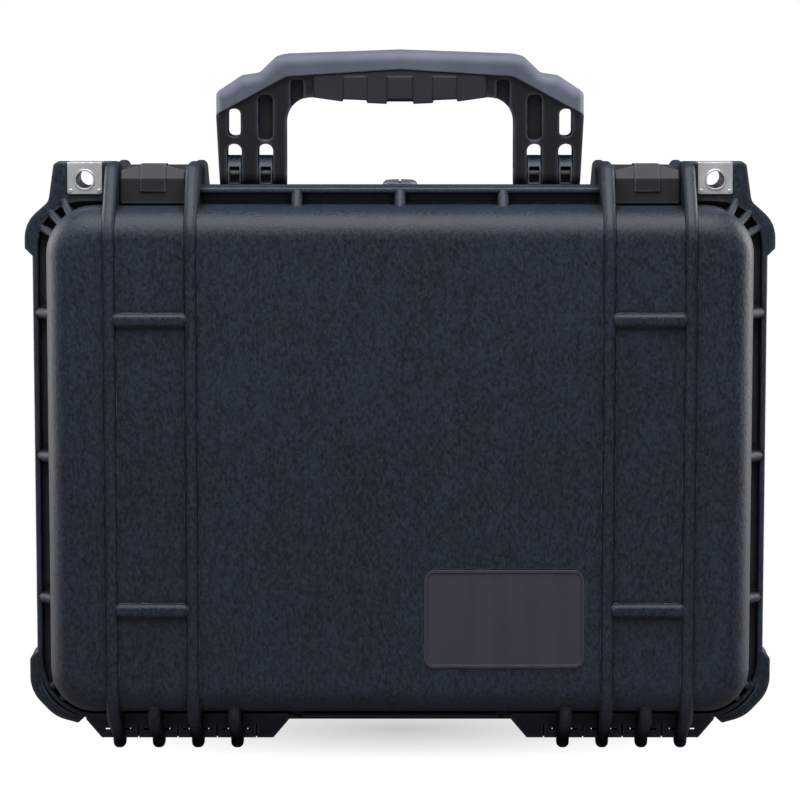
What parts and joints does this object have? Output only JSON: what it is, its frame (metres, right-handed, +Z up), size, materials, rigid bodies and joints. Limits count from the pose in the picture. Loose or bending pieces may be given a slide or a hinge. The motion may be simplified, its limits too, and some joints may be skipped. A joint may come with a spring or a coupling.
{
  "type": "protective hard case",
  "caption": "Ribbed waterproof hard case with a hinged lid, two-piece throw latches, a folding carry handle, padlock eyelets and a pressure valve, standing on its hinge side.",
  "frame": {"origin": "middle of the overall box on the floor, under the case standing on its hinge side", "axes": "+Z up from the hinge side to the handle, -Y out of the lid's face, +X to the right as seen from the lid"},
  "size_m": [0.406, 0.174, 0.3831],
  "materials": {
    "case_plastic": "fine grained slate grey polypropylene",
    "latch_plastic": "smooth satin black plastic",
    "handle_plastic": "satin black glass-filled plastic",
    "handle_rubber": "soft dark grey over-moulded grip",
    "seal_rubber": "soft black ring",
    "steel": "stainless, lightly brushed",
    "label_plastic": "bare dark plate with a raised edge",
    "membrane_fabric": "thin white breathing membrane"
  },
  "bodies": {
    "base": {"base_shell": "case_plastic", "hinge_pin_left": "steel", "hinge_pin_right": "steel", "handle_pin_left": "steel", "handle_pin_right": "steel", "latch_pin_left": "steel", "latch_pin_right": "steel", "padlock_guard_base_left": "steel", "padlock_guard_base_right": "steel", "valve_body": "latch_plastic", "valve_seal": "seal_rubber", "valve_membrane": "membrane_fabric", "valve_cap": "latch_plastic", "valve_nut": "latch_plastic"},
    "lid": {"lid_shell": "case_plastic", "lid_seal": "seal_rubber", "label_plate": "label_plastic", "padlock_guard_lid_left": "steel", "padlock_guard_lid_right": "steel"},
    "handle": {"handle_frame": "handle_plastic", "handle_cover": "handle_rubber", "handle_finger_pad": "handle_rubber"},
    "lever_left": {"latch_lever_left": "latch_plastic", "latch_link_pin_left": "steel"},
    "lever_right": {"latch_lever_right": "latch_plastic", "latch_link_pin_right": "steel"},
    "hook_left": {"latch_hook_left": "latch_plastic"},
    "hook_right": {"latch_hook_right": "latch_plastic"}
  },
  "joints": [
    {"name": "lid_hinge", "type": "hinge", "parent": "base", "child": "lid", "pos_m": [0, -0.035, 0.0068], "axis": [1, 0, 0], "range_deg": [0, 105]},
    {"name": "handle_fold", "type": "hinge", "parent": "base", "child": "handle", "pos_m": [0, -0.012, 0.316], "axis": [-1, 0, 0], "range_deg": [0, 90]},
    {"name": "latch_left_lever", "type": "hinge", "parent": "base", "child": "lever_left", "pos_m": [-0.13305, -0.0165, 0.307], "axis": [1, 0, 0], "range_deg": [0, 60]},
    {"name": "latch_left_hook", "type": "hinge", "parent": "lever_left", "child": "hook_left", "pos_m": [-0.13305, -0.0075, 0.3145], "axis": [1, 0, 0], "range_deg": [-90, 0]},
    {"name": "latch_right_lever", "type": "hinge", "parent": "base", "child": "lever_right", "pos_m": [0.13305, -0.0165, 0.307], "axis": [1, 0, 0], "range_deg": [0, 60]},
    {"name": "latch_right_hook", "type": "hinge", "parent": "lever_right", "child": "hook_right", "pos_m": [0.13305, -0.0075, 0.3145], "axis": [1, 0, 0], "range_deg": [-90, 0]}
  ],
  "couplings": [
    {"joint": "latch_left_hook", "follows": "latch_left_lever", "ratio": -1.5},
    {"joint": "latch_right_hook", "follows": "latch_right_lever", "ratio": -1.5}
  ]
}
